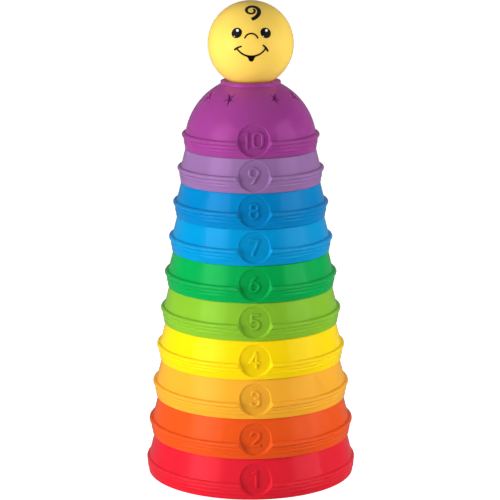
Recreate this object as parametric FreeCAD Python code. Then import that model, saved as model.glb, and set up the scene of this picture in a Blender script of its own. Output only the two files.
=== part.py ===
import FreeCAD, Part
import math
import os

# A tower of ten nesting cups, turned upside down and stacked by size, with a ball on top.
# Millimetres, +Z up. The origin is the centre of the largest cup's rim, where it stands.
# The numbered discs face -Y. Cup 1 is the largest and lowest, cup 10 the smallest.

CUPS = 10

# rims: the open end of each cup, which faces down in the tower
SMALLEST_RIM_R = 38.4
RIM_R_STEP = 2.72            # growth from one cup to the next larger one
RIM_R_STEP_LOSS = 0.02       # quadratic term: each step is a little smaller than the last
WALL = 1.9

# how far each cup stands above the one below it
SMALLEST_PITCH = 19.7
PITCH_STEP = 0.5

# band between the rim and the bead
RIM_ROUND = 0.5
FIRST_GROOVE = (0.35, 2.9)   # (stand-out from the rim's radius, height over the rim)
FIRST_RIDGE = (0.72, 3.8)
SECOND_GROOVE = (0.45, 4.7)
SECOND_RIDGE = (0.86, 5.7)
BEAD_FOOT_OUT = 0.6          # stand-out where the bead starts

# bead: a round moulding below the wall
BEAD_OUT = 1.9
BEAD_ROUND = 1.45
BEAD_HEIGHT = 8.3
WIDEST_R = 62.4              # no bead stands out further than this

# wall, ledge and crown
WALL_FOOT_IN = 0.3           # the wall starts this far inside the rim's radius
WALL_DRAFT = 0.25            # loss of radius per unit of height
LEDGE_ROUND = 0.6
CROWN_IN = 3.6               # the crown's foot, measured in from the next rim's outside
CROWN_FOOT_HEIGHT = 2.5
CROWN_FOOT_DRAFT = 0.25
CROWN_FLAT = 0.3             # share of the rim's radius that is flat at the very top
HEIGHT_SHARE = 1.0           # a cup's height as a share of its rim's radius

# dome of the smallest cup, with the collar that holds the ball
DOME_R = 38.6
COLLAR_R = 17.6
COLLAR_TOP = 39.9
COLLAR_ROUND = 0.8
COLLAR_INNER_R = 16.0
COLLAR_INNER_ROUND = 0.35
SEAT_FLOOR = 35.9
SEAT_SPHERE_R = 36.0
SEAT_EDGE_R = 15.6

# star-shaped cut-outs, drawn straight up through the dome
STAR_ANGLES = (30, 70, 110, 150)     # on either side, from the disc round to the back
STAR_RING_R = 25.8
STAR_TIP_R = 4.1
STAR_NOTCH_R = 1.35
STAR_CUT = (20.0, 45.0)      # heights between which the cutter runs

# number discs: flat faces sunk into the front of each cup
DISC_R = 8.9
DISC_FOOT_ROUND = 0.9
DISC_TILT = 7.5
DISC_SINK = 0.55
DOMED_DISC_LIFT = 0.6        # the smallest cup carries its disc a little higher
DISC_WALL_SLOPE = math.tan(math.radians(30.0))
DISC_CUT_DEPTH = 6.0
PAD_R = 11.0
PAD_THICKNESS = 1.6
PAD_REACH = 12.0

# raised numerals: round ribs half sunk into the disc
RIB_R = 1.0
RIB_SINK = 0.15
NUMBER_LEAST_VOLUME = 10.0   # every number stands out by more than this, in cubic millimetres

# ball: two half shells welded on the XZ plane
BALL_R = 25.0
BALL_WALL = 1.8
BALL_SEAT_GAP = 0.2
TONGUE_OUTER_R = 23.95
TONGUE_LENGTH = 1.4
TONGUE_GAP = 0.1

Z_AXIS = FreeCAD.Vector(0, 0, 1)
Y_AXIS = FreeCAD.Vector(0, 1, 0)
CENTRE = FreeCAD.Vector(0, 0, 0)


def rim_radius(cup):
    n = CUPS - cup
    return SMALLEST_RIM_R + RIM_R_STEP * n - RIM_R_STEP_LOSS * n * n


def pitch(cup):
    """Height of the next cup's rim above this one's."""
    return SMALLEST_PITCH + PITCH_STEP * (CUPS - 1 - cup)


def rim_height(cup):
    return sum(pitch(lower) for lower in range(1, cup))


def at(radius, height):
    """A point of a profile, which lies in the XZ plane."""
    return FreeCAD.Vector(radius, 0, height)


def line(start, end):
    return Part.LineSegment(start, end).toShape()


def arc(start, middle, end):
    return Part.Arc(start, middle, end).toShape()


def axis_arc(centre_height, radius, start, end):
    """The arc from start to end about a centre on the Z axis."""
    side = math.copysign(1.0, start.z - centre_height)
    tilt = sum(math.atan2(p.x, side * (p.z - centre_height)) for p in (start, end)) / 2
    middle = at(radius * math.sin(tilt), centre_height + side * radius * math.cos(tilt))
    return arc(start, middle, end)


def rounded_lines(corners):
    """Lines through (radius, height, rounding) corners, each corner rounded by a tangent arc."""
    edges = []
    here = at(*corners[0][:2])
    for before, corner, after in zip(corners, corners[1:], corners[2:]):
        point = at(*corner[:2])
        back = (at(*before[:2]) - point).normalize()
        on = (at(*after[:2]) - point).normalize()
        half = back.getAngle(on) / 2
        cut = corner[2] / math.tan(half)
        start = point + back * cut
        end = point + on * cut
        inward = (back + on).normalize()
        middle = point + inward * (corner[2] / math.sin(half) - corner[2])
        edges.append(line(here, start))
        edges.append(arc(start, middle, end))
        here = end
    edges.append(line(here, at(*corners[-1][:2])))
    return edges


def turned(edges):
    """The solid made by turning a closed profile about the Z axis."""
    face = Part.Face(Part.Wire(edges))
    return face.revolve(CENTRE, Z_AXIS, 360)


def bead_centre(rim):
    return at(min(rim + BEAD_OUT, WIDEST_R) - BEAD_ROUND, BEAD_HEIGHT)


def on_bead(rim, radius, side):
    """The point of the bead's circle at a radius, above (+1) or below (-1) its middle."""
    centre = bead_centre(rim)
    rise = math.sqrt(BEAD_ROUND ** 2 - (radius - centre.x) ** 2)
    return at(radius, centre.z + side * rise)


def band_edges(rim):
    """From the rim's middle out, and up over the two ridges and the bead to the wall's foot."""
    first_groove = (rim + FIRST_GROOVE[0], FIRST_GROOVE[1])
    edges = rounded_lines([(0, 0, 0), (rim, 0, RIM_ROUND), (*first_groove, 0)])
    second_groove = at(rim + SECOND_GROOVE[0], SECOND_GROOVE[1])
    bead_foot = on_bead(rim, rim + BEAD_FOOT_OUT, -1)
    bead_nose = bead_centre(rim) + at(BEAD_ROUND, 0)
    edges.append(arc(at(*first_groove), at(rim + FIRST_RIDGE[0], FIRST_RIDGE[1]), second_groove))
    edges.append(arc(second_groove, at(rim + SECOND_RIDGE[0], SECOND_RIDGE[1]), bead_foot))
    edges.append(arc(bead_foot, bead_nose, wall_foot(rim)))
    return edges


def wall_foot(rim):
    return on_bead(rim, rim - WALL_FOOT_IN, 1)


def wall_radius(rim, height):
    foot = wall_foot(rim)
    return foot.x - WALL_DRAFT * (height - foot.z)


def crown(cup):
    """The crown's foot, the edge of its flat top, and the arc between them about the axis."""
    rim = rim_radius(cup)
    foot_r = rim_radius(cup + 1) - CROWN_IN
    foot = at(foot_r - CROWN_FOOT_DRAFT, pitch(cup) + CROWN_FOOT_HEIGHT)
    flat = at(CROWN_FLAT * rim, HEIGHT_SHARE * rim)
    squares = flat.x ** 2 + flat.z ** 2 - foot.x ** 2 - foot.z ** 2
    centre_height = squares / (2 * (flat.z - foot.z))
    radius = math.hypot(foot.x, foot.z - centre_height)
    return foot, flat, centre_height, radius


def cup_outside(cup):
    rim = rim_radius(cup)
    ledge = pitch(cup)
    foot, flat, centre_height, radius = crown(cup)
    start = wall_foot(rim)
    edges = band_edges(rim)
    edges += rounded_lines([
        (start.x, start.z, 0),
        (wall_radius(rim, ledge), ledge, LEDGE_ROUND),
        (foot.x + CROWN_FOOT_DRAFT, ledge, LEDGE_ROUND),
        (foot.x, foot.z, 0),
    ])
    edges.append(axis_arc(centre_height, radius, foot, flat))
    edges.append(line(flat, at(0, flat.z)))
    edges.append(line(at(0, flat.z), CENTRE))
    return turned(edges)


def cup_inside(cup):
    rim = rim_radius(cup)
    ledge = pitch(cup) - WALL
    foot, flat, centre_height, radius = crown(cup)
    inner_r = radius - WALL
    shoulder_r = foot.x - WALL
    shoulder = at(shoulder_r, centre_height + math.sqrt(inner_r ** 2 - shoulder_r ** 2))
    ceiling = flat.z - WALL
    ceiling_r = math.sqrt(inner_r ** 2 - (ceiling - centre_height) ** 2)
    start = wall_foot(rim)
    corners = [
        CENTRE,
        at(rim - WALL, 0),
        at(start.x - WALL, start.z),
        at(wall_radius(rim, ledge) - WALL, ledge),
        at(shoulder_r + CROWN_FOOT_DRAFT, ledge),
        shoulder,
    ]
    edges = [line(a, b) for a, b in zip(corners, corners[1:])]
    edges.append(axis_arc(centre_height, inner_r, shoulder, at(ceiling_r, ceiling)))
    edges.append(line(at(ceiling_r, ceiling), at(0, ceiling)))
    edges.append(line(at(0, ceiling), CENTRE))
    return turned(edges)


def dome_centre():
    """Height of the smallest cup's dome centre, which puts the dome through the wall's foot."""
    foot = wall_foot(rim_radius(CUPS))
    return foot.z - math.sqrt(DOME_R ** 2 - foot.x ** 2)


def dome_height(radius):
    return dome_centre() + math.sqrt(DOME_R ** 2 - radius ** 2)


def domed_outside():
    rim = rim_radius(CUPS)
    collar_foot = at(COLLAR_R, dome_height(COLLAR_R))
    seat_centre = SEAT_FLOOR + SEAT_SPHERE_R
    seat_edge = at(SEAT_EDGE_R, seat_centre - math.sqrt(SEAT_SPHERE_R ** 2 - SEAT_EDGE_R ** 2))
    floor = at(0, SEAT_FLOOR)
    edges = band_edges(rim)
    edges.append(axis_arc(dome_centre(), DOME_R, wall_foot(rim), collar_foot))
    edges += rounded_lines([
        (collar_foot.x, collar_foot.z, 0),
        (COLLAR_R, COLLAR_TOP, COLLAR_ROUND),
        (COLLAR_INNER_R, COLLAR_TOP, COLLAR_INNER_ROUND),
        (seat_edge.x, seat_edge.z, 0),
    ])
    edges.append(axis_arc(seat_centre, SEAT_SPHERE_R, seat_edge, floor))
    edges.append(line(floor, CENTRE))
    return turned(edges)


def domed_inside():
    rim = rim_radius(CUPS)
    foot = wall_foot(rim)
    inner_r = DOME_R - WALL
    rise = foot.z - dome_centre()
    start = at(math.sqrt(inner_r ** 2 - rise ** 2), foot.z)
    top = at(0, dome_centre() + inner_r)
    edges = [
        line(CENTRE, at(rim - WALL, 0)),
        line(at(rim - WALL, 0), start),
        axis_arc(dome_centre(), inner_r, start, top),
        line(top, CENTRE),
    ]
    seat_centre = SEAT_FLOOR + SEAT_SPHERE_R
    seat_skin = Part.makeSphere(SEAT_SPHERE_R + WALL, at(0, seat_centre))
    return turned(edges).cut(seat_skin)


def outside_radius(cup, height):
    """The outside radius above the bead."""
    if cup == CUPS:
        return math.sqrt(DOME_R ** 2 - (height - dome_centre()) ** 2)
    return wall_radius(rim_radius(cup), height)


def disc_place(cup):
    """Where the disc's face lies: its own Z axis points out of the cup and its Y axis up."""
    tilt = math.radians(DISC_TILT)
    middle = pitch(cup) / 2 + (DOMED_DISC_LIFT if cup == CUPS else 0)
    top = middle + DISC_R * math.cos(tilt)
    out = outside_radius(cup, top) - DISC_SINK + DISC_R * math.sin(tilt)
    turn = FreeCAD.Rotation(FreeCAD.Vector(1, 0, 0), 90 - DISC_TILT)
    return FreeCAD.Placement(FreeCAD.Vector(0, -out, middle), turn)


def placed(shape, placement):
    shape.Placement = placement.multiply(shape.Placement)
    return shape


def disc_recess():
    """The cutter for a disc: a flat floor with a round foot and a sloping wall."""
    wide = DISC_R + DISC_CUT_DEPTH * DISC_WALL_SLOPE
    edges = rounded_lines([(0, 0, 0), (DISC_R, 0, DISC_FOOT_ROUND), (wide, DISC_CUT_DEPTH, 0)])
    edges.append(line(at(wide, DISC_CUT_DEPTH), at(0, DISC_CUT_DEPTH)))
    edges.append(line(at(0, DISC_CUT_DEPTH), CENTRE))
    return turned(edges)


def rib_bar(x0, y0, x1, y1):
    """A straight rib in the disc's own plane."""
    start = FreeCAD.Vector(x0, y0, -RIB_SINK)
    run = FreeCAD.Vector(x1, y1, -RIB_SINK) - start
    return Part.makeCylinder(RIB_R, run.Length, start, run)


def rib_arc(x, y, radius, start, end):
    """A curved rib, from one angle anticlockwise to another, in degrees from the disc's X axis."""
    ring = Part.makeTorus(radius, RIB_R, CENTRE, Z_AXIS, 0, 360, end - start)
    ring.rotate(CENTRE, Z_AXIS, start)
    ring.translate(FreeCAD.Vector(x, y, -RIB_SINK))
    return ring


def rib_ring(x, y, radius):
    return Part.makeTorus(radius, RIB_R, FreeCAD.Vector(x, y, -RIB_SINK), Z_AXIS)


def rib_end(x, y):
    """The round end or corner of a rib."""
    return Part.makeSphere(RIB_R, FreeCAD.Vector(x, y, -RIB_SINK))


def arc_point(x, y, radius, angle):
    turn = math.radians(angle)
    return x + radius * math.cos(turn), y + radius * math.sin(turn)


def tail(*points):
    """Straight ribs from point to point, with a round end at each point but the first."""
    bars = [rib_bar(*a, *b) for a, b in zip(points, points[1:])]
    return bars + [rib_end(*point) for point in points[1:]]


def stroke(*points):
    """Straight ribs from point to point, with round ends and corners."""
    return tail(*points) + [rib_end(*points[0])]


def hook(x, y, radius, start, end):
    """A curved rib with two round ends."""
    ends = [rib_end(*arc_point(x, y, radius, angle)) for angle in (start, end)]
    return [rib_arc(x, y, radius, start, end)] + ends


def one(x):
    return stroke((x - 1.6, 3.2), (x, 4.1), (x, -4.1))


def zero(x):
    reach = 2.6
    rise = 1.6
    return [
        rib_arc(x, rise, reach, 0, 180),
        rib_arc(x, -rise, reach, 180, 360),
        rib_bar(x - reach, rise, x - reach, -rise),
        rib_bar(x + reach, rise, x + reach, -rise),
    ]


def two():
    bow = (0, 1.7, 2.4)
    return hook(*bow, -35, 165) + tail(arc_point(*bow, -35), (-2.4, -4.1), (2.6, -4.1))


def three():
    return hook(0, 2.1, 2.0, -80, 155) + hook(0, -1.8, 2.35, -155, 80)


def four():
    return stroke((0.8, -4.1), (0.8, 4.1), (-2.7, -1.6), (2.5, -1.6))


def five():
    bow = (-0.1, -1.6, 2.5)
    return hook(*bow, -150, 137) + tail(arc_point(*bow, 137), (-1.6, 4.1), (2.1, 4.1))


def six():
    return [rib_ring(0, -1.6, 2.5)] + hook(4.0, -1.4, 6.2, 123, 176)


def seven():
    return stroke((-2.4, 4.1), (2.4, 4.1), (-0.9, -4.1))


def eight():
    return [rib_ring(0, 2.1, 2.0), rib_ring(0, -1.75, 2.35)]


def nine():
    return [rib_ring(0, 1.6, 2.5)] + stroke((2.36, 0.8), (-0.6, -4.1))


def numeral(cup):
    """The ribs of a cup's number, in the disc's own plane."""
    glyphs = {2: two, 3: three, 4: four, 5: five, 6: six, 7: seven, 8: eight, 9: nine}
    if cup == 1:
        return one(0.5)
    if cup == CUPS:
        return one(-3.8) + zero(2.5)
    return glyphs[cup]()


def star(angle):
    """A vertical cutter shaped as a five-pointed star with one point away from the axis."""
    points = []
    for corner in range(11):
        turn = math.radians(angle + 36 * corner)
        reach = STAR_TIP_R if corner % 2 == 0 else STAR_NOTCH_R
        points.append(FreeCAD.Vector(math.cos(turn), math.sin(turn), 0) * reach)
    face = Part.Face(Part.makePolygon(points))
    around = math.radians(angle)
    middle = FreeCAD.Vector(math.cos(around), math.sin(around), 0) * STAR_RING_R
    face.translate(middle + at(0, STAR_CUT[0]))
    return face.extrude(at(0, STAR_CUT[1] - STAR_CUT[0]))


def build_cup(cup):
    outside = domed_outside() if cup == CUPS else cup_outside(cup)
    inside = domed_inside() if cup == CUPS else cup_inside(cup)
    place = disc_place(cup)
    pad = Part.makeCylinder(PAD_R, PAD_REACH, at(0, -PAD_THICKNESS), Z_AXIS)
    inside = inside.cut(placed(pad, place))
    body = outside.cut(inside)
    body = body.cut(placed(disc_recess(), place))
    if cup == CUPS:
        for angle in STAR_ANGLES:
            body = body.cut(star(-90 + angle))
            body = body.cut(star(-90 - angle))
    blank_volume = body.Volume
    ribs = [placed(rib, place) for rib in numeral(cup)]
    body = body.fuse(ribs).removeSplitter()
    if body.Volume - blank_volume < NUMBER_LEAST_VOLUME:
        raise ValueError(f"the number on cup {cup} didn't join the cup")
    body.translate(at(0, rim_height(cup)))
    return body


def build_ball():
    """The face half, which carries the tongue, and the back half, which it slips into."""
    shell = Part.makeSphere(BALL_R).cut(Part.makeSphere(BALL_R - BALL_WALL))
    size = 2 * BALL_R
    front_box = Part.makeBox(size, BALL_R, size, FreeCAD.Vector(-BALL_R, -BALL_R, -BALL_R))
    inner_r = BALL_R - BALL_WALL
    root = FreeCAD.Vector(0, -TONGUE_LENGTH, 0)
    tongue = Part.makeCylinder(TONGUE_OUTER_R, 2 * TONGUE_LENGTH, root, Y_AXIS)
    tongue = tongue.cut(Part.makeCylinder(inner_r, 2 * TONGUE_LENGTH, root, Y_AXIS))
    rebate_r = TONGUE_OUTER_R + TONGUE_GAP
    rebate = Part.makeCylinder(rebate_r, TONGUE_LENGTH + TONGUE_GAP, CENTRE, Y_AXIS)
    face_half = shell.common(front_box).fuse(tongue).removeSplitter()
    back_half = shell.cut(front_box).cut(rebate)
    centre = rim_height(CUPS) + SEAT_FLOOR + BALL_SEAT_GAP + BALL_R
    for half in (face_half, back_half):
        half.translate(at(0, centre))
    return face_half, back_half


def main():
    os.makedirs("parts", exist_ok=True)
    for cup in range(1, CUPS + 1):
        body = build_cup(cup)
        solid = body.Solids[0]
        print("cup", cup, "solids", len(body.Solids), "valid", body.isValid(),
              "volume", round(solid.Volume), "height", round(solid.BoundBox.ZLength, 2))
        solid.exportStep(f"parts/cup_{cup}.step")
    for name, half in zip(("ball_face_half", "ball_back_half"), build_ball()):
        print(name, "solids", len(half.Solids), "valid", half.isValid(), round(half.Volume))
        half.Solids[0].exportStep(f"parts/{name}.step")


main()
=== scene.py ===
"""Stacking cup tower: ten nesting cups and a smiling ball, with plastics, printed face and studio."""

import math

import bmesh
import bpy
from bpy.props import FloatProperty, FloatVectorProperty, PointerProperty
from mathutils import Euler, Matrix, Vector


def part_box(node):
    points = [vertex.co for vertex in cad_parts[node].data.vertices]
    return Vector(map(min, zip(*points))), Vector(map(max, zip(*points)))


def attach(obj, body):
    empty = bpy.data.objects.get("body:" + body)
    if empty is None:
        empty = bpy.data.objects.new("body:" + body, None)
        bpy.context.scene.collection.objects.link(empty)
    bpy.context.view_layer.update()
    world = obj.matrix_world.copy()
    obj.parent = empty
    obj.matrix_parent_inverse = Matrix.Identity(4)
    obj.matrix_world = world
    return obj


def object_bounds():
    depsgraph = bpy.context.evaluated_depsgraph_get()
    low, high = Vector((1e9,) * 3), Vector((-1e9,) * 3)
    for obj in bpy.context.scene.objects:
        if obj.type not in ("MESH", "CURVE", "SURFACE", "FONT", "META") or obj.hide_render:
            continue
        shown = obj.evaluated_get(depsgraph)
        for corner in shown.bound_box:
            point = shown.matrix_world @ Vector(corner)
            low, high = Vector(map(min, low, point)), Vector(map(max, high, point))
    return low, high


bl_info = {
    "name": "Stacking Cup Tower",
    "version": (1, 0, 0),
    "blender": (4, 5, 0),
    "location": "View3D > Sidebar > Cup Tower",
    "description": "Plastics for ten stacking cups, a printed face for the ball, and a studio",
    "category": "Object",
}

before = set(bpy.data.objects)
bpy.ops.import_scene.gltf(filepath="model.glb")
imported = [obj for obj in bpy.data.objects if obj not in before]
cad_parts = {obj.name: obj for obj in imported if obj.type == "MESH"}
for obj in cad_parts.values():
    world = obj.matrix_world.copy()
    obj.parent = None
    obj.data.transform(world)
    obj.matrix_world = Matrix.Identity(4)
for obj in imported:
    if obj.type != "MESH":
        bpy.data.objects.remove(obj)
cad_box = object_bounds()

MM = 0.001
BLACK = (0.0, 0.0, 0.0, 1.0)
WHITE = (1.0, 1.0, 1.0, 1.0)
CUP_NUMBERS = range(1, 11)
BALL_NODES = ("ball_face_half", "ball_back_half")

# number discs
DISC_RADIUS = 8.9 * MM
DOMED_DISC_HEIGHT = 10.2 * MM    # over the rim of the smallest cup
NO_DISC_HEIGHT = -1.0            # far under the floor, for a plastic with no disc
DISC_MATTNESS = 0.12             # added to the skin's roughness

# plastic skin
PLASTIC_IOR = 1.49
WEAR_AND_HIGHLIGHT_PALENESS = 0.25           # how far the worn crest and foot go towards white; on the crest this paling is partly a painted highlight
SKIN_RELIEF = 0.03 * MM
SKIN_RELIEF_STRENGTH = 0.15
SOFT_REACH = 2.0 * MM            # how far light goes into the plastic

# ink
INK_ROUGHNESS = 0.38
INK_SHEEN = 0.2
INK_DRIFT = 1.5                  # its pigment drift, as a share of the plastic's
INK_RELIEF = 0.02 * MM
INK_RELIEF_STRENGTH = 0.3
INK_SEGMENTS = 10
INK_STATION_GAP = 0.35 * MM
ROUND_END_STEPS = 5
ROUND_END_SHARE = 0.3            # the last step stops this share of a step before the very tip

# eyes: each light is (millimetres across and up from the eye's middle, long size, short size, tilt),
# its sizes in millimetres and its tilt in radians
EYE_TILT = math.radians(45)
EYE_LIGHTS = (((0.4, 1.4), 1.5, 1.5, 0.0), ((-1.4, -1.9), 0.75, 0.6, 0.5))
EYE_LIGHT_FILMS = 2.5

# nose and mouth: a crease is (name, millimetres across and up, heading and bend in degrees)
NOSE_RADIUS = 3.9 * MM
NOSE_HEIGHT = 1.7 * MM
NOSE_HALF_TURN = math.radians(68)
SMILE_HALF_TURN = math.radians(59.5)
CREASES = (("left", (-9.3, -3.4), 38, -24), ("right", (9.3, -4.1), 116, 26))
CREASE_LENGTH = 3.9 * MM
TONGUE_WIDTHS = (5.7 * MM, 4.7 * MM, 3.5 * MM)
TONGUE_STEP = 0.6 * MM
TONGUE_FILMS = 0.8

# curl: each arc is (radius in millimetres, turn in degrees, width at its end in millimetres)
CURL_START = (0.48 * MM, 19.3 * MM)
CURL_HEADING = math.radians(-49)
CURL_FIRST_WIDTH = 0.95 * MM
CURL_ARCS = ((1.45, 131, 1.05), (1.86, 90, 1.15), (2.2, 90, 1.4), (2.8, 90, 1.65), (4.84, 67, 1.95))
CURL_STRETCH = 1.45
CURL_SHIFT = 0.9 * MM

# lamps: (name, turn to the right and lift in degrees, distance, width, height, radiance)
SOFT_BOXES = (
    ("left_box", -54, 12, 1.2, 0.76, 1.1, 1.5),
    ("right_box", 63, 12, 1.2, 0.72, 1.1, 1.2),
)
FILL_LAMPS = (
    ("left_key", -64, 6, 1.3, 0.7, 0.5, 10.6),
    ("right_key", 92, 6, 1.3, 0.7, 0.5, 9.4),
    ("front_fill", -8, 24, 1.8, 1.2, 1.2, 0.7),
)
FLOOR_GLOW = 0.85
FLOOR_GAP = 0.05 * MM            # the floor lies this far under the lowest rim


# ---------------------------------------------------------------------------------------------------
# Sizes and colours that can be changed
# ---------------------------------------------------------------------------------------------------


def plastic_colour(label, colour):
    """A colour property for one moulding."""
    return FloatVectorProperty(
        name=label,
        description=f"Pigment of the {label.lower()}, scene linear",
        subtype="COLOR",
        size=3,
        min=0.0,
        max=1.0,
        default=colour,
    )


def length(label, description, millimetres):
    """A length property, given in millimetres and kept in metres."""
    default = millimetres * MM
    return FloatProperty(name=label, description=description, default=default, unit="LENGTH")


def share(label, description, value):
    """A property from 0 to 1."""
    return FloatProperty(name=label, description=description, default=value, min=0.0, max=1.0)


class CupTowerColours(bpy.types.PropertyGroup):
    """The pigment of each moulding."""

    cup_1: plastic_colour("Cup 1", (0.72, 0.016, 0.034))
    cup_2: plastic_colour("Cup 2", (0.78, 0.090, 0.012))
    cup_3: plastic_colour("Cup 3", (0.87, 0.41, 0.030))
    cup_4: plastic_colour("Cup 4", (0.95, 0.67, 0.004))
    cup_5: plastic_colour("Cup 5", (0.225, 0.48, 0.028))
    cup_6: plastic_colour("Cup 6", (0.002, 0.36, 0.070))
    cup_7: plastic_colour("Cup 7", (0.001, 0.275, 0.59))
    cup_8: plastic_colour("Cup 8", (0.001, 0.205, 0.50))
    cup_9: plastic_colour("Cup 9", (0.275, 0.14, 0.335))
    cup_10: plastic_colour("Cup 10", (0.31, 0.045, 0.25))
    ball: plastic_colour("Ball", (0.93, 0.635, 0.110))
    ink: plastic_colour("Face ink", (0.0035, 0.0025, 0.0025))
    eye_light: plastic_colour("Light in the eyes", (0.88, 0.88, 0.84))


class CupTowerFinish(bpy.types.PropertyGroup):
    """How the moulded plastic has kept, and how strong its painted highlight, painted shade and painted
    glow are.
    """

    roughness: share("Roughness", "Roughness of the clean moulded skin", 0.16)
    scuffs: share("Scuffs", "How much play has dulled the skin", 0.08)
    drift: share("Pigment drift", "How far the pigment is unevenly mixed", 0.05)
    # Edge rub pales the crest and foot: partly real wear, and on the bead's crest partly a painted
    # highlight.
    rub: share("Edge rub", "How pale the proud edges have been rubbed", 0.05)
    # Disc shade is painted shade: it darkens the number discs' colour, standing in for the shade that
    # falls in their recesses.
    disc: share("Disc shade", "How much deeper the matt number discs look", 0.09)
    # Wall glow is a painted glow: emission of the pigment's colour on the inside faces, standing in for
    # light through the thin walls.
    glow: share("Wall glow", "How much light comes through the thin walls to the inside", 0.25)
    tint: share("Sheen tint", "How far the sheen takes the pigment's colour", 0.8)
    softness: share("Softness", "How much light goes a little way into the plastic", 0.12)


class CupTowerFace(bpy.types.PropertyGroup):
    """The printed face, as it is drawn flat before the pad rolls it on to the ball."""

    turn: FloatProperty(name="Turn", description="Which way the face looks",
                        default=math.radians(-1.9), subtype="ANGLE")
    lift: FloatProperty(name="Lift", description="How far the face looks up",
                        default=math.radians(6.6), subtype="ANGLE")
    ink: length("Ink", "Thickness of the ink film", 0.08)
    eye_apart: length("Eyes apart", "Distance between the middles of the eyes", 16.4)
    eye_height: length("Eye height", "Height of the eyes over the middle of the face", 5.95)
    eye_long: length("Eye length", "Longer size of an eye", 6.3)
    eye_short: length("Eye width", "Shorter size of an eye", 5.6)
    smile_radius: length("Smile radius", "Radius of the smile's curve", 9.7)
    smile_low: length("Smile height", "Height of the middle of the smile", -7.3)
    line: length("Line", "Width of the thin lines of the face", 0.95)


class CupTowerStudio(bpy.types.PropertyGroup):
    """Camera, floor and lamps."""

    camera_away: length("Camera distance", "Level distance from the axis to the camera", 1217.7)
    camera_height: length("Camera height", "Height of the camera over the floor", 397.4)
    camera_turn: FloatProperty(name="Camera turn", description="Turn of the camera about the tower",
                               default=math.radians(-2.7), subtype="ANGLE")
    camera_dip: FloatProperty(name="Camera dip", description="How far the camera looks down",
                              default=math.radians(12.2), subtype="ANGLE")
    lens: FloatProperty(name="Lens", description="Focal length of the camera",
                        default=151.8, unit="CAMERA")
    shift: FloatProperty(name="Shift", description="Sideways shift of the picture", default=-0.0014)
    floor_radius: length("Floor radius", "Radius of the pale floor", 6000.0)
    fill: FloatProperty(name="Fill", description="Strength of the lamps that no gloss shows",
                        default=1.0, min=0.0)
    boxes: FloatProperty(name="Soft boxes", description="Strength of the soft boxes",
                         default=1.0, min=0.0)


# ---------------------------------------------------------------------------------------------------
# Node groups that several plastics share
# ---------------------------------------------------------------------------------------------------


def node_group(name, inputs, outputs):
    """A shader node group with named sockets. Each socket is (name, kind, default)."""
    group = bpy.data.node_groups.new(name, "ShaderNodeTree")
    for label, kind, default in inputs:
        socket = group.interface.new_socket(name=label, in_out="INPUT", socket_type="NodeSocket" + kind)
        if default is not None:
            socket.default_value = default
    for label, kind in outputs:
        group.interface.new_socket(name=label, in_out="OUTPUT", socket_type="NodeSocket" + kind)
    return group, group.nodes.new("NodeGroupInput"), group.nodes.new("NodeGroupOutput")


def maths(tree, operation, first, second=None, third=None, clamp=False):
    """A Math node fed with sockets or numbers. Returns its output."""
    node = tree.nodes.new("ShaderNodeMath")
    node.operation = operation
    node.use_clamp = clamp
    for socket, value in zip(node.inputs, (first, second, third)):
        if isinstance(value, bpy.types.NodeSocket):
            tree.links.new(value, socket)
        elif value is not None:
            socket.default_value = value
    return node.outputs[0]


def noise(tree, position, scale, detail, stretch=(1.0, 1.0, 1.0)):
    """A noise from 0 to 1 over the position, drawn out along an axis if asked. Returns its output."""
    mapping = tree.nodes.new("ShaderNodeMapping")
    mapping.inputs["Scale"].default_value = stretch
    tree.links.new(position, mapping.inputs["Vector"])
    node = tree.nodes.new("ShaderNodeTexNoise")
    node.inputs["Scale"].default_value = scale
    node.inputs["Detail"].default_value = detail
    tree.links.new(mapping.outputs["Vector"], node.inputs["Vector"])
    return node.outputs["Fac"]


def band(tree, value, start, end):
    """Smoothly 0 before start and 1 after end. Returns its output."""
    node = tree.nodes.new("ShaderNodeMapRange")
    node.interpolation_type = "SMOOTHSTEP"
    for name, given in (("Value", value), ("From Min", start), ("From Max", end)):
        if isinstance(given, bpy.types.NodeSocket):
            tree.links.new(given, node.inputs[name])
        else:
            node.inputs[name].default_value = given
    return node.outputs["Result"]


def mixed_colour(tree, factor, first, second, blend="MIX"):
    """A colour between two, or the second laid over the first in another way. Returns its output."""
    node = tree.nodes.new("ShaderNodeMix")
    node.data_type = "RGBA"
    node.blend_type = blend
    tree.links.new(factor, node.inputs["Factor"])
    for socket, value in ((node.inputs[6], first), (node.inputs[7], second)):
        if isinstance(value, bpy.types.NodeSocket):
            tree.links.new(value, socket)
        else:
            socket.default_value = value
    return node.outputs[2]


def pigment_drift_group():
    """Colour that is a little unevenly mixed: broad clouds, steep flow lines and fine grains."""
    group, given, result = node_group(
        "Pigment Drift",
        [("Position", "Vector", None), ("Colour", "Color", None), ("Drift", "Float", 0.05)],
        [("Colour", "Color")],
    )
    position = given.outputs["Position"]
    clouds = noise(group, position, 22.0, 3.0)
    flow = noise(group, position, 60.0, 4.0, stretch=(1.0, 1.0, 0.25))
    grains = noise(group, position, 1600.0, 2.0)
    broad = maths(group, "MULTIPLY_ADD", clouds, 0.55, maths(group, "MULTIPLY", flow, 0.25))
    whole = maths(group, "MULTIPLY_ADD", grains, 0.2, broad)
    centred = maths(group, "SUBTRACT", whole, 0.5)
    swing = maths(group, "MULTIPLY", centred, given.outputs["Drift"])
    value = maths(group, "MULTIPLY_ADD", swing, 4.0, 1.0)
    tint = group.nodes.new("ShaderNodeHueSaturation")
    group.links.new(given.outputs["Colour"], tint.inputs["Color"])
    group.links.new(value, tint.inputs["Value"])
    group.links.new(tint.outputs["Color"], result.inputs["Colour"])
    return group


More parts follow.
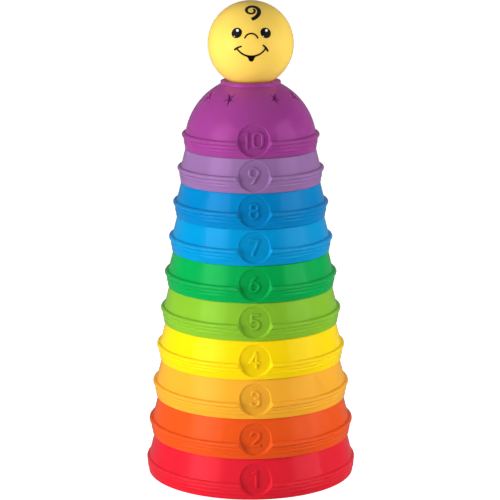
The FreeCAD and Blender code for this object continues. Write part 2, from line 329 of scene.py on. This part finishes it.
def played_skin_group():
    """Roughness and height of a moulded skin: orange peel, hair scratches and dull patches."""
    group, given, result = node_group(
        "Played Skin",
        [("Position", "Vector", None), ("Roughness", "Float", 0.2), ("Scuffs", "Float", 0.12),
         ("Rub", "Float", 0.0)],
        [("Roughness", "Float"), ("Height", "Float")],
    )
    position = given.outputs["Position"]
    patches = band(group, noise(group, position, 45.0, 5.0), 0.45, 0.7)
    level_threads = noise(group, position, 900.0, 3.0, stretch=(0.08, 0.08, 1.0))
    level_hairs = band(group, level_threads, 0.6, 0.75)
    steep_threads = noise(group, position, 800.0, 3.0, stretch=(1.0, 1.0, 0.07))
    steep_hairs = band(group, steep_threads, 0.62, 0.76)
    hairs = maths(group, "MAXIMUM", level_hairs, steep_hairs)
    dulled = maths(group, "MULTIPLY_ADD", hairs, 0.5, patches)
    scuffed = maths(group, "MULTIPLY_ADD", dulled, given.outputs["Scuffs"], given.outputs["Roughness"])
    worn_and_highlit = maths(group, "MULTIPLY_ADD", given.outputs["Rub"], 0.08, scuffed, clamp=True)
    peel = noise(group, position, 380.0, 2.0)
    cut = maths(group, "MULTIPLY", hairs, given.outputs["Scuffs"])
    height = maths(group, "MULTIPLY_ADD", cut, -0.6, peel)
    group.links.new(worn_and_highlit, result.inputs["Roughness"])
    group.links.new(height, result.inputs["Height"])
    return group


def worn_and_highlit_edge_group():
    """Where hands and tables rub: the crest of a cup's bead and the foot it stands on, in patches. The
    paling it gives the crest is partly a painted highlight.
    """
    group, given, result = node_group(
        "Rubbed Edge",
        [("Position", "Vector", None), ("Crest Radius", "Float", 0.06), ("Foot Height", "Float", 0.0)],
        [("Rub", "Float")],
    )
    parts = group.nodes.new("ShaderNodeSeparateXYZ")
    group.links.new(given.outputs["Position"], parts.inputs["Vector"])
    squares = maths(group, "MULTIPLY_ADD", parts.outputs["X"], parts.outputs["X"],
                    maths(group, "MULTIPLY", parts.outputs["Y"], parts.outputs["Y"]))
    radius = maths(group, "SQRT", squares)
    past_crest = maths(group, "SUBTRACT", radius, given.outputs["Crest Radius"])
    crest = band(group, past_crest, -0.5 * MM, 0.05 * MM)
    over_foot = maths(group, "SUBTRACT", parts.outputs["Z"], given.outputs["Foot Height"])
    foot = band(group, over_foot, 0.9 * MM, 0.0)
    edge = maths(group, "MAXIMUM", crest, foot)
    patches = band(group, noise(group, given.outputs["Position"], 120.0, 3.0), 0.2, 0.8)
    group.links.new(maths(group, "MULTIPLY", edge, patches), result.inputs["Rub"])
    return group


def number_disc_group():
    """1 on the flat number disc at the front of a cup, and 0 elsewhere."""
    group, given, result = node_group(
        "Number Disc",
        [("Position", "Vector", None), ("Disc Height", "Float", 0.0)],
        [("Disc", "Float")],
    )
    parts = group.nodes.new("ShaderNodeSeparateXYZ")
    group.links.new(given.outputs["Position"], parts.inputs["Vector"])
    rise = maths(group, "SUBTRACT", parts.outputs["Z"], given.outputs["Disc Height"])
    squares = maths(group, "MULTIPLY_ADD", rise, rise,
                    maths(group, "MULTIPLY", parts.outputs["X"], parts.outputs["X"]))
    radius = maths(group, "SQRT", squares)
    inside = band(group, radius, DISC_RADIUS + 0.1 * MM, DISC_RADIUS - 0.5 * MM)
    front = maths(group, "LESS_THAN", parts.outputs["Y"], 0.0)
    group.links.new(maths(group, "MULTIPLY", inside, front), result.inputs["Disc"])
    return group


def painted_wall_glow_group():
    """A painted glow standing in for light through a thin wall: the pigment's colour, given off as
    emission on every face that looks to the axis.
    """
    group, given, result = node_group(
        "Wall Glow",
        [("Position", "Vector", None), ("Normal", "Vector", None), ("Colour", "Color", None),
         ("Glow", "Float", 0.25)],
        [("Colour", "Color")],
    )
    level = group.nodes.new("ShaderNodeVectorMath")
    level.operation = "MULTIPLY"
    level.inputs[1].default_value = (1.0, 1.0, 0.0)
    group.links.new(given.outputs["Position"], level.inputs[0])
    outward = group.nodes.new("ShaderNodeVectorMath")
    outward.operation = "NORMALIZE"
    group.links.new(level.outputs["Vector"], outward.inputs[0])
    facing = group.nodes.new("ShaderNodeVectorMath")
    facing.operation = "DOT_PRODUCT"
    group.links.new(outward.outputs["Vector"], facing.inputs[0])
    group.links.new(given.outputs["Normal"], facing.inputs[1])
    inward = band(group, facing.outputs["Value"], -0.05, -0.3)
    lit = maths(group, "MULTIPLY", inward, given.outputs["Glow"])
    glowing = mixed_colour(group, lit, BLACK, given.outputs["Colour"])
    group.links.new(glowing, result.inputs["Colour"])
    return group


def shared_group(name, maker):
    """The node group of that name, built the first time that it is asked for."""
    return bpy.data.node_groups.get(name) or maker()


# ---------------------------------------------------------------------------------------------------
# Places
# ---------------------------------------------------------------------------------------------------


def disc_height(number):
    """Height of the middle of a cup's number disc: half-way to the rim of the next cup up."""
    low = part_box(f"cup_{number}")[0].z
    if number == CUP_NUMBERS[-1]:
        return low + DOMED_DISC_HEIGHT
    return (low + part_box(f"cup_{number + 1}")[0].z) / 2


def ball_place():
    """Middle and radius of the ball, from its two halves."""
    low = Vector(map(min, *(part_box(node)[0] for node in BALL_NODES)))
    high = Vector(map(max, *(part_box(node)[1] for node in BALL_NODES)))
    radius = (high.x - low.x) / 2
    return Vector((0.0, 0.0, high.z - radius)), radius


# ---------------------------------------------------------------------------------------------------
# Materials
# ---------------------------------------------------------------------------------------------------


def placed_group(tree, group, **values):
    """A node group placed in a material. Sockets are linked and numbers are set."""
    node = tree.nodes.new("ShaderNodeGroup")
    node.node_tree = group
    for name, value in values.items():
        socket = node.inputs[name.replace("_", " ")]
        if isinstance(value, bpy.types.NodeSocket):
            tree.links.new(value, socket)
        else:
            socket.default_value = value
    return node


def new_material(name):
    """An empty node material with its Principled shader and the object coordinates."""
    material = bpy.data.materials.new(name)
    material.use_nodes = True
    tree = material.node_tree
    tree.nodes.clear()
    output = tree.nodes.new("ShaderNodeOutputMaterial")
    shader = tree.nodes.new("ShaderNodeBsdfPrincipled")
    tree.links.new(shader.outputs["BSDF"], output.inputs["Surface"])
    coordinates = tree.nodes.new("ShaderNodeTexCoord")
    return material, tree, shader, coordinates


def bumped(tree, shader, height, distance, strength):
    """Gives the shader the relief of a height."""
    bump = tree.nodes.new("ShaderNodeBump")
    bump.inputs["Strength"].default_value = strength
    bump.inputs["Distance"].default_value = distance
    tree.links.new(height, bump.inputs["Height"])
    tree.links.new(bump.outputs["Normal"], shader.inputs["Normal"])


def moulded_plastic(name, colour, finish, crest_radius, foot_height, disc_height):
    """Glossy moulded plastic, worn at its crest and foot and matt on its number disc, with a painted
    highlight paling the crest, painted shade darkening the number disc and a painted glow on the inside
    faces.
    """
    material, tree, shader, coordinates = new_material(name)
    position = coordinates.outputs["Object"]
    rub = placed_group(
        tree, shared_group("Rubbed Edge", worn_and_highlit_edge_group),
        Position=position, Crest_Radius=crest_radius, Foot_Height=foot_height,
    ).outputs["Rub"]
    skin = placed_group(
        tree, shared_group("Played Skin", played_skin_group),
        Position=position, Roughness=finish.roughness, Scuffs=finish.scuffs, Rub=rub,
    )
    disc = placed_group(
        tree, shared_group("Number Disc", number_disc_group),
        Position=position, Disc_Height=disc_height,
    ).outputs["Disc"]
    pigment = placed_group(
        tree, shared_group("Pigment Drift", pigment_drift_group),
        Position=position, Colour=(*colour, 1.0), Drift=finish.drift,
    ).outputs["Colour"]
    # Painted glow: the inside faces give off their pigment's colour as emission.
    glow = placed_group(
        tree, shared_group("Wall Glow", painted_wall_glow_group),
        Position=position, Normal=coordinates.outputs["Normal"], Colour=pigment, Glow=finish.glow,
    ).outputs["Colour"]
    # The crest and foot go paler: partly wear, and on the bead's crest partly a painted highlight.
    pale = tuple(1.0 - (1.0 - part) * (1.0 - WEAR_AND_HIGHLIGHT_PALENESS) for part in colour)
    worn_and_highlit = mixed_colour(tree, maths(tree, "MULTIPLY", rub, finish.rub), pigment, (*pale, 1.0))
    # Painted shade: the number disc's colour is darkened, standing in for the shade that falls in its
    # recess.
    shade = maths(tree, "MULTIPLY", disc, finish.disc)
    shaded = mixed_colour(tree, shade, worn_and_highlit, BLACK, blend="MULTIPLY")
    tree.links.new(shaded, shader.inputs["Base Color"])
    matt = maths(tree, "MULTIPLY_ADD", disc, DISC_MATTNESS, skin.outputs["Roughness"], clamp=True)
    tree.links.new(matt, shader.inputs["Roughness"])
    tree.links.new(glow, shader.inputs["Emission Color"])
    bumped(tree, shader, skin.outputs["Height"], SKIN_RELIEF, SKIN_RELIEF_STRENGTH)
    shader.inputs["Emission Strength"].default_value = 1.0
    shader.inputs["IOR"].default_value = PLASTIC_IOR
    strongest = max(colour)
    shader.inputs["Specular Tint"].default_value = (
        *(1.0 - finish.tint * (1.0 - part / strongest) for part in colour), 1.0)
    shader.inputs["Subsurface Weight"].default_value = finish.softness
    shader.inputs["Subsurface Radius"].default_value = (1.0, 0.7, 0.5)
    shader.inputs["Subsurface Scale"].default_value = SOFT_REACH
    return material


def printing_ink(name, colour, finish):
    """A pad-printed ink film: nearly even, with fine grains and a satin skin."""
    material, tree, shader, coordinates = new_material(name)
    position = coordinates.outputs["Object"]
    pigment = placed_group(
        tree, shared_group("Pigment Drift", pigment_drift_group),
        Position=position, Colour=(*colour, 1.0), Drift=finish.drift * INK_DRIFT,
    ).outputs["Colour"]
    skin = placed_group(
        tree, shared_group("Played Skin", played_skin_group),
        Position=position, Roughness=INK_ROUGHNESS, Scuffs=finish.scuffs, Rub=0.0,
    )
    tree.links.new(pigment, shader.inputs["Base Color"])
    tree.links.new(skin.outputs["Roughness"], shader.inputs["Roughness"])
    bumped(tree, shader, skin.outputs["Height"], INK_RELIEF, INK_RELIEF_STRENGTH)
    shader.inputs["Specular IOR Level"].default_value = INK_SHEEN
    return material


def floor_paper(name):
    """Pale studio paper that glows a little, so that it stays clean and pale away from the lamps."""
    material, tree, shader, coordinates = new_material(name)
    fibres = noise(tree, coordinates.outputs["Object"], 900.0, 4.0)
    colour = mixed_colour(tree, fibres, (0.80, 0.80, 0.80, 1.0), (0.86, 0.86, 0.86, 1.0))
    tree.links.new(colour, shader.inputs["Base Color"])
    bumped(tree, shader, fibres, 0.05 * MM, 0.2)
    shader.inputs["Roughness"].default_value = 0.9
    shader.inputs["Specular IOR Level"].default_value = 0.0
    shader.inputs["Emission Color"].default_value = WHITE
    seen = tree.nodes.new("ShaderNodeLightPath").outputs["Is Camera Ray"]
    tree.links.new(maths(tree, "MULTIPLY", seen, FLOOR_GLOW), shader.inputs["Emission Strength"])
    return material


def dress(node, material):
    """Gives a CAD node its material."""
    node.data.materials.clear()
    node.data.materials.append(material)


# ---------------------------------------------------------------------------------------------------
# Printing on the ball
# ---------------------------------------------------------------------------------------------------


def roll_on_to_ball(bm, face):
    """Rolls a flat drawing on to the ball. In the drawing x is across, z up and y into the ball."""
    centre, radius = ball_place()
    turned = Euler((-face.lift, 0.0, face.turn)).to_matrix()
    for vert in bm.verts:
        across, into, up = vert.co
        on_ball = Vector((across, -math.sqrt(radius**2 - across**2 - up**2), up))
        vert.co = centre + turned @ on_ball * (1.0 - into / radius)


def finished_print(name, bm, material, face):
    """Makes a piece of a drawn bmesh, rolled on to the ball and riding with it."""
    roll_on_to_ball(bm, face)
    bmesh.ops.recalc_face_normals(bm, faces=bm.faces)
    mesh = bpy.data.meshes.new(name)
    bm.to_mesh(mesh)
    bm.free()
    mesh.shade_smooth()
    mesh.materials.append(material)
    piece = bpy.data.objects.new(name, mesh)
    bpy.context.scene.collection.objects.link(piece)
    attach(piece, "ball")


def ink_spot(bm, middle, long, short, tilt, ink):
    """A drop of ink: an oval lens."""
    drop = bmesh.ops.create_uvsphere(bm, u_segments=32, v_segments=16, radius=1.0)["verts"]
    bmesh.ops.scale(bm, vec=(long / 2, ink / 2, short / 2), verts=drop)
    bmesh.ops.rotate(bm, cent=(0, 0, 0), matrix=Matrix.Rotation(-tilt, 3, "Y"), verts=drop)
    bmesh.ops.translate(bm, vec=(middle[0], -ink / 2, middle[1]), verts=drop)


def stroke_stations(start, heading, lengths, width):
    """Where a brush is along a stroke: (x, z, heading, width).

    Each length is (length, turn, width at its end).
    """
    x, z = start
    stations = [(x, z, heading, width)]
    for piece, turn, end_width in lengths:
        steps = max(2, round(piece / INK_STATION_GAP))
        for step in range(1, steps + 1):
            halfway = heading + turn * (step - 0.5) / steps
            x += math.cos(halfway) * piece / steps
            z += math.sin(halfway) * piece / steps
            done = step / steps
            stations.append((x, z, heading + turn * done, width + (end_width - width) * done))
        heading += turn
        width = end_width
    return stations


def round_end(station, way):
    """Stations that round off a stroke, outwards. way is 1 at its finish and -1 at its start."""
    x, z, heading, width = station
    stations = []
    for step in range(1, ROUND_END_STEPS + 1):
        angle = math.pi / 2 * step / (ROUND_END_STEPS + ROUND_END_SHARE)
        out = way * width / 2 * math.sin(angle)
        stations.append((x + math.cos(heading) * out, z + math.sin(heading) * out, heading,
                         width * math.cos(angle)))
    return stations


def brush_stroke(bm, start, heading, lengths, width, ink, blunt_start=False, blunt_finish=False):
    """A stroke of ink: a flat bead with round or blunt ends.

    It follows lengths of (length, turn, width at its end).
    """
    stations = stroke_stations(start, heading, lengths, width)
    before = [] if blunt_start else round_end(stations[0], -1)[::-1]
    after = [] if blunt_finish else round_end(stations[-1], 1)
    stations = before + stations + after
    ring = bmesh.ops.create_circle(bm, cap_ends=False, radius=0.5, segments=INK_SEGMENTS)["verts"]
    edges = list({edge for vert in ring for edge in vert.link_edges})
    first_edges = edges
    placed = Matrix.Identity(4)
    for number, (x, z, angle, size) in enumerate(stations):
        if number:
            new = bmesh.ops.extrude_edge_only(bm, edges=edges)["geom"]
            ring = [part for part in new if isinstance(part, bmesh.types.BMVert)]
            edges = [part for part in new if isinstance(part, bmesh.types.BMEdge)
                     and all(vert in ring for vert in part.verts)]
        across = Vector((-math.sin(angle), 0.0, math.cos(angle)))
        along = Vector((math.cos(angle), 0.0, math.sin(angle)))
        matrix = Matrix((across * size, Vector((0.0, ink, 0.0)), along * MM)).transposed().to_4x4()
        matrix.translation = Vector((x, -ink / 2, z))
        bmesh.ops.transform(bm, matrix=matrix @ placed.inverted(), verts=ring)
        placed = matrix
    bmesh.ops.holes_fill(bm, edges=first_edges + edges, sides=INK_SEGMENTS)


# ---------------------------------------------------------------------------------------------------
# Operators
# ---------------------------------------------------------------------------------------------------


class CUPTOWER_OT_cups(bpy.types.Operator):
    """Gives each cup its own moulded plastic"""

    bl_idname = "cuptower.cups"
    bl_label = "Mould the Cups"

    def execute(self, context):
        colours, finish = context.scene.cup_tower_colours, context.scene.cup_tower_finish
        for number in CUP_NUMBERS:
            name = f"cup_{number}"
            low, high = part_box(name)
            plastic = moulded_plastic(f"{name}_plastic", getattr(colours, name), finish,
                                      crest_radius=high.x, foot_height=low.z,
                                      disc_height=disc_height(number))
            dress(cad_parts[name], plastic)
        return {"FINISHED"}


class CUPTOWER_OT_ball(bpy.types.Operator):
    """Gives the two halves of the ball their moulded plastic"""

    bl_idname = "cuptower.ball"
    bl_label = "Mould the Ball"

    def execute(self, context):
        colours, finish = context.scene.cup_tower_colours, context.scene.cup_tower_finish
        centre, radius = ball_place()
        plastic = moulded_plastic("ball_plastic", colours.ball, finish,
                                  crest_radius=radius * 2, foot_height=centre.z - radius,
                                  disc_height=NO_DISC_HEIGHT)
        for node in BALL_NODES:
            dress(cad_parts[node], plastic)
        return {"FINISHED"}


class CUPTOWER_OT_eyes(bpy.types.Operator):
    """Prints two tilted oval eyes, each with a large and a small light in it"""

    bl_idname = "cuptower.eyes"
    bl_label = "Print the Eyes"

    def execute(self, context):
        face, colours = context.scene.cup_tower_face, context.scene.cup_tower_colours
        finish = context.scene.cup_tower_finish
        black = printing_ink("black_ink", colours.ink, finish)
        white = printing_ink("white_ink", colours.eye_light, finish)
        for side, name in ((-1, "left"), (1, "right")):
            middle = Vector((side * face.eye_apart / 2, face.eye_height))
            eye = bmesh.new()
            ink_spot(eye, middle, face.eye_long, face.eye_short, -side * EYE_TILT, face.ink)
            finished_print(f"eye_{name}", eye, black, face)
            lights = bmesh.new()
            for place, long, short, tilt in EYE_LIGHTS:
                ink_spot(lights, middle + Vector(place) * MM, long * MM, short * MM, tilt,
                         face.ink * EYE_LIGHT_FILMS)
            finished_print(f"eye_lights_{name}", lights, white, face)
        return {"FINISHED"}


class CUPTOWER_OT_nose(bpy.types.Operator):
    """Prints the small arched nose"""

    bl_idname = "cuptower.nose"
    bl_label = "Print the Nose"

    def execute(self, context):
        face = context.scene.cup_tower_face
        bm = bmesh.new()
        radius, half_turn = NOSE_RADIUS, NOSE_HALF_TURN
        start = (-radius * math.sin(half_turn), NOSE_HEIGHT + radius * math.cos(half_turn))
        brush_stroke(bm, start, half_turn, [(2 * radius * half_turn, -2 * half_turn, face.line)],
                     face.line, face.ink)
        finished_print("nose", bm, bpy.data.materials["black_ink"], face)
        return {"FINISHED"}


class CUPTOWER_OT_mouth(bpy.types.Operator):
    """Prints the smile with a crease at each cheek, and the tip of the tongue"""

    bl_idname = "cuptower.mouth"
    bl_label = "Print the Mouth"

    def execute(self, context):
        face, black = context.scene.cup_tower_face, bpy.data.materials["black_ink"]
        radius, half_turn = face.smile_radius, SMILE_HALF_TURN
        start = (-radius * math.sin(half_turn), face.smile_low + radius * (1 - math.cos(half_turn)))
        half = radius * half_turn
        smile = bmesh.new()
        brush_stroke(smile, start, -half_turn,
                     [(half, half_turn, face.line * 1.25), (half, half_turn, face.line)],
                     face.line, face.ink)
        finished_print("smile", smile, black, face)
        for name, (across, up), heading, bend in CREASES:
            crease = bmesh.new()
            brush_stroke(crease, (across * MM, up * MM), math.radians(heading),
                         [(CREASE_LENGTH, math.radians(bend), face.line * 1.1)],
                         face.line * 1.3, face.ink)
            finished_print(f"cheek_{name}", crease, black, face)
        tongue = bmesh.new()
        brush_stroke(tongue, (0.0, face.smile_low), math.radians(-90),
                     [(TONGUE_STEP, 0.0, width) for width in TONGUE_WIDTHS[1:]],
                     TONGUE_WIDTHS[0], face.ink * TONGUE_FILMS, blunt_start=True)
        finished_print("tongue", tongue, black, face)
        return {"FINISHED"}


class CUPTOWER_OT_curl(bpy.types.Operator):
    """Prints the curl of hair as one brush stroke that widens outwards"""

    bl_idname = "cuptower.curl"
    bl_label = "Print the Curl"

    def execute(self, context):
        face = context.scene.cup_tower_face
        lengths = [(radius * MM * math.radians(turn), -math.radians(turn), width * MM)
                   for radius, turn, width in CURL_ARCS]
        bm = bmesh.new()
        brush_stroke(bm, CURL_START, CURL_HEADING, lengths, CURL_FIRST_WIDTH, face.ink,
                     blunt_finish=True)
        bmesh.ops.scale(bm, vec=(CURL_STRETCH, 1.0, 1.0), verts=bm.verts)
        bmesh.ops.translate(bm, vec=(CURL_SHIFT, 0.0, 0.0), verts=bm.verts)
        finished_print("curl", bm, bpy.data.materials["black_ink"], face)
        return {"FINISHED"}


def soft_box(name, turn, lift, away, width, height, radiance, centre, in_gloss=True):
    """A rectangular lamp that faces the tower's middle, turned to the right from its front."""
    lamp = bpy.data.lights.new(name, "AREA")
    lamp.shape = "RECTANGLE"
    lamp.size = width
    lamp.size_y = height
    lamp.energy = radiance * 4.0 * width * height
    box = bpy.data.objects.new(name, lamp)
    across, up = math.radians(turn), math.radians(lift)
    out = Vector((math.sin(across) * math.cos(up), -math.cos(across) * math.cos(up), math.sin(up)))
    box.location = centre + out * away
    box.rotation_euler = out.to_track_quat("Z", "Y").to_euler()
    box.visible_camera = False
    box.visible_glossy = in_gloss
    bpy.context.scene.collection.objects.link(box)


def studio_world():
    """A pale surround: white to the camera, dim at lamp height and bright overhead."""
    world = bpy.data.worlds.new("studio")
    world.use_nodes = True
    tree = world.node_tree
    tree.nodes.clear()
    direction = tree.nodes.new("ShaderNodeTexCoord").outputs["Generated"]
    parts = tree.nodes.new("ShaderNodeSeparateXYZ")
    tree.links.new(direction, parts.inputs["Vector"])
    ceiling = band(tree, parts.outputs["Z"], 0.6, 1.0)
    behind = band(tree, parts.outputs["Y"], 0.2, 1.0)
    low_light = maths(tree, "MULTIPLY_ADD", behind, 0.2, 0.03)
    brighter = maths(tree, "MULTIPLY_ADD", ceiling, 0.6, low_light)
    seen = tree.nodes.new("ShaderNodeLightPath").outputs["Is Camera Ray"]
    strength = maths(tree, "MAXIMUM", brighter, seen)
    background = tree.nodes.new("ShaderNodeBackground")
    tree.links.new(strength, background.inputs["Strength"])
    output = tree.nodes.new("ShaderNodeOutputWorld")
    tree.links.new(background.outputs["Background"], output.inputs["Surface"])
    bpy.context.scene.world = world


class CUPTOWER_OT_studio(bpy.types.Operator):
    """Sets the floor, the lamps, the surround and the camera"""

    bl_idname = "cuptower.studio"
    bl_label = "Set Up the Studio"

    def execute(self, context):
        studio = context.scene.cup_tower_studio
        low, high = cad_box
        centre = (low + high) / 2
        self.lay_floor(studio, low.z)
        studio_world()
        for *lamp, radiance in SOFT_BOXES:
            soft_box(*lamp, radiance * studio.boxes, centre)
        for *lamp, radiance in FILL_LAMPS:
            soft_box(*lamp, radiance * studio.fill, centre, in_gloss=False)
        self.place_camera(context, studio)
        context.scene.view_settings.view_transform = "Standard"
        return {"FINISHED"}

    def lay_floor(self, studio, level):
        """A round sheet of pale paper under the tower."""
        bm = bmesh.new()
        bmesh.ops.create_circle(bm, cap_ends=True, radius=studio.floor_radius, segments=128)
        bmesh.ops.translate(bm, vec=(0.0, 0.0, level - FLOOR_GAP), verts=bm.verts)
        mesh = bpy.data.meshes.new("floor")
        bm.to_mesh(mesh)
        bm.free()
        mesh.materials.append(floor_paper("floor_paper"))
        floor = bpy.data.objects.new("floor", mesh)
        bpy.context.scene.collection.objects.link(floor)
        floor.visible_glossy = False

    def place_camera(self, context, studio):
        """The camera stands off the tower's front and looks a little down on it."""
        camera = bpy.data.objects.new("camera", bpy.data.cameras.new("camera"))
        camera.data.lens = studio.lens
        camera.data.shift_x = studio.shift
        camera.location = (math.sin(studio.camera_turn) * studio.camera_away,
                           -math.cos(studio.camera_turn) * studio.camera_away,
                           studio.camera_height)
        camera.rotation_euler = (math.radians(90) - studio.camera_dip, 0.0, studio.camera_turn)
        context.scene.collection.objects.link(camera)
        context.scene.camera = camera


# ---------------------------------------------------------------------------------------------------
# Panel and registration
# ---------------------------------------------------------------------------------------------------

PIECE_OPERATORS = (CUPTOWER_OT_cups, CUPTOWER_OT_ball, CUPTOWER_OT_eyes, CUPTOWER_OT_nose,
                   CUPTOWER_OT_mouth, CUPTOWER_OT_curl, CUPTOWER_OT_studio)
SETTINGS = {"cup_tower_colours": CupTowerColours, "cup_tower_finish": CupTowerFinish,
            "cup_tower_face": CupTowerFace, "cup_tower_studio": CupTowerStudio}


class CUPTOWER_PT_panel(bpy.types.Panel):
    """The tower's pieces and the studio, in the order that they are made"""

    bl_label = "Stacking Cup Tower"
    bl_idname = "CUPTOWER_PT_panel"
    bl_space_type = "VIEW_3D"
    bl_region_type = "UI"
    bl_category = "Cup Tower"

    def draw(self, context):
        for operator in PIECE_OPERATORS:
            self.layout.operator(operator.bl_idname)


def register():
    for settings in SETTINGS.values():
        bpy.utils.register_class(settings)
    for name, settings in SETTINGS.items():
        setattr(bpy.types.Scene, name, PointerProperty(type=settings))
    for operator in PIECE_OPERATORS:
        bpy.utils.register_class(operator)
    bpy.utils.register_class(CUPTOWER_PT_panel)


def unregister():
    bpy.utils.unregister_class(CUPTOWER_PT_panel)
    for operator in reversed(PIECE_OPERATORS):
        bpy.utils.unregister_class(operator)
    for name, settings in SETTINGS.items():
        delattr(bpy.types.Scene, name)
        bpy.utils.unregister_class(settings)


def main():
    """Makes everything in order; the CAD box, taken at import, places the studio."""
    register()
    for operator in PIECE_OPERATORS:
        group, name = operator.bl_idname.split(".")
        getattr(getattr(bpy.ops, group), name)()


if __name__ == "__main__":
    main()
